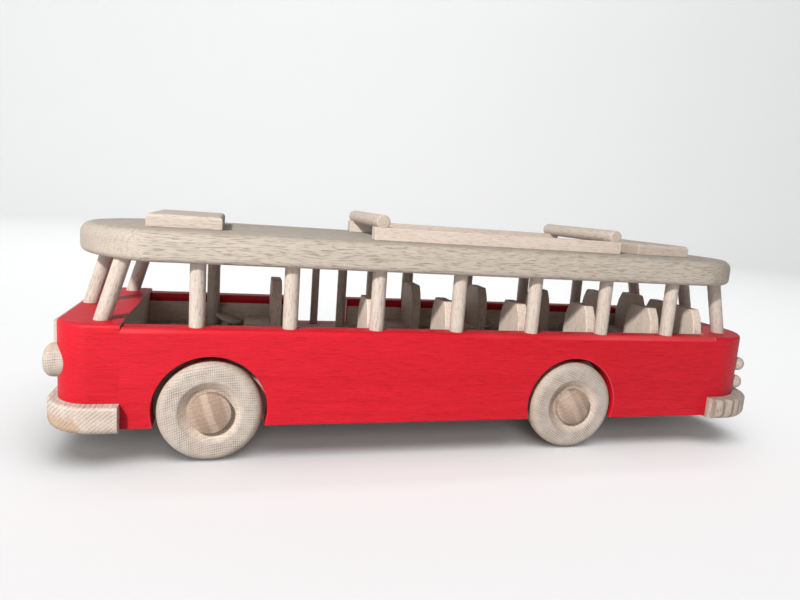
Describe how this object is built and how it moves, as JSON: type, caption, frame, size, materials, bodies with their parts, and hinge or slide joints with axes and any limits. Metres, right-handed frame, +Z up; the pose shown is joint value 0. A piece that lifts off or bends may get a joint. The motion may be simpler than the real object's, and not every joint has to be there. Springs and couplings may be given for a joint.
{
  "type": "toy_bus",
  "caption": "Wooden toy bus with a red body, dowel window pillars, a bowed roof with a luggage rack, seats inside, free-rolling wheels and a turning steering wheel.",
  "frame": {"origin": "On the ground under the middle of the bus's length and width.", "axes": "+X points forward to the nose, +Y to the bus's left side, +Z up."},
  "size_m": [0.4032, 0.1264, 0.1255],
  "materials": {
    "beech": "sanded, thin clear oil",
    "red_stained_wood": "red stain, satin, grain showing",
    "turned_wood": "turned, lightly oiled"
  },
  "bodies": {
    "bus_body": {"floor_board": "beech", "left_wall": "red_stained_wood", "right_wall": "red_stained_wood", "nose_block": "red_stained_wood", "tail_block": "red_stained_wood", "roof_board": "beech", "front_bumper": "beech", "rear_bumper": "beech", "nose_panel": "beech", "headlight_left": "beech", "headlight_right": "beech", "tail_lamps_left": "turned_wood", "tail_lamps_right": "turned_wood", "cab_post": "beech", "door_post": "beech", "door_pole": "beech", "jamb_pillar": "beech", "left_pillar_1": "beech", "left_pillar_2": "beech", "left_pillar_3": "beech", "left_pillar_4": "beech", "left_pillar_5": "beech", "left_pillar_6": "beech", "left_pillar_7": "beech", "right_pillar_4": "beech", "right_pillar_5": "beech", "right_pillar_6": "beech", "right_pillar_7": "beech", "windscreen_pillar_left": "beech", "windscreen_pillar_middle": "beech", "windscreen_pillar_right": "beech", "rear_pillar_left": "beech", "rear_pillar_middle": "beech", "rear_pillar_right": "beech", "front_hatch": "beech", "rear_hatch": "beech", "rack_rail_left": "beech", "rack_rail_right": "beech", "rack_bar_front": "beech", "rack_bar_rear": "beech", "front_axle_block": "beech", "rear_axle_block": "beech", "front_left_peg": "turned_wood", "front_right_peg": "turned_wood", "rear_left_peg": "turned_wood", "rear_right_peg": "turned_wood", "driver_seat": "beech", "steering_column": "beech", "seat_row_1": "beech", "seat_row_2": "beech", "seat_row_3": "beech", "seat_row_4": "beech", "seat_row_5": "beech", "rear_bench": "beech"},
    "front_left_wheel": {"front_left_wheel": "beech"},
    "front_right_wheel": {"front_right_wheel": "beech"},
    "rear_left_wheel": {"rear_left_wheel": "beech"},
    "rear_right_wheel": {"rear_right_wheel": "beech"},
    "steering": {"steering_wheel": "beech"}
  },
  "joints": [
    {"name": "front_left_wheel_turn", "type": "hinge", "parent": "bus_body", "child": "front_left_wheel", "pos_m": [0.127, 0.0514, 0.025], "axis": [0, 1, 0], "continuous": true},
    {"name": "front_right_wheel_turn", "type": "hinge", "parent": "bus_body", "child": "front_right_wheel", "pos_m": [0.127, -0.0514, 0.025], "axis": [0, 1, 0], "continuous": true},
    {"name": "rear_left_wheel_turn", "type": "hinge", "parent": "bus_body", "child": "rear_left_wheel", "pos_m": [-0.071, 0.0514, 0.025], "axis": [0, 1, 0], "continuous": true},
    {"name": "rear_right_wheel_turn", "type": "hinge", "parent": "bus_body", "child": "rear_right_wheel", "pos_m": [-0.071, -0.0514, 0.025], "axis": [0, 1, 0], "continuous": true},
    {"name": "steering_turn", "type": "hinge", "parent": "bus_body", "child": "steering", "pos_m": [0.1202, -0.0315, 0.0542], "axis": [-0.309, 0, 0.9511], "continuous": true}
  ]
}
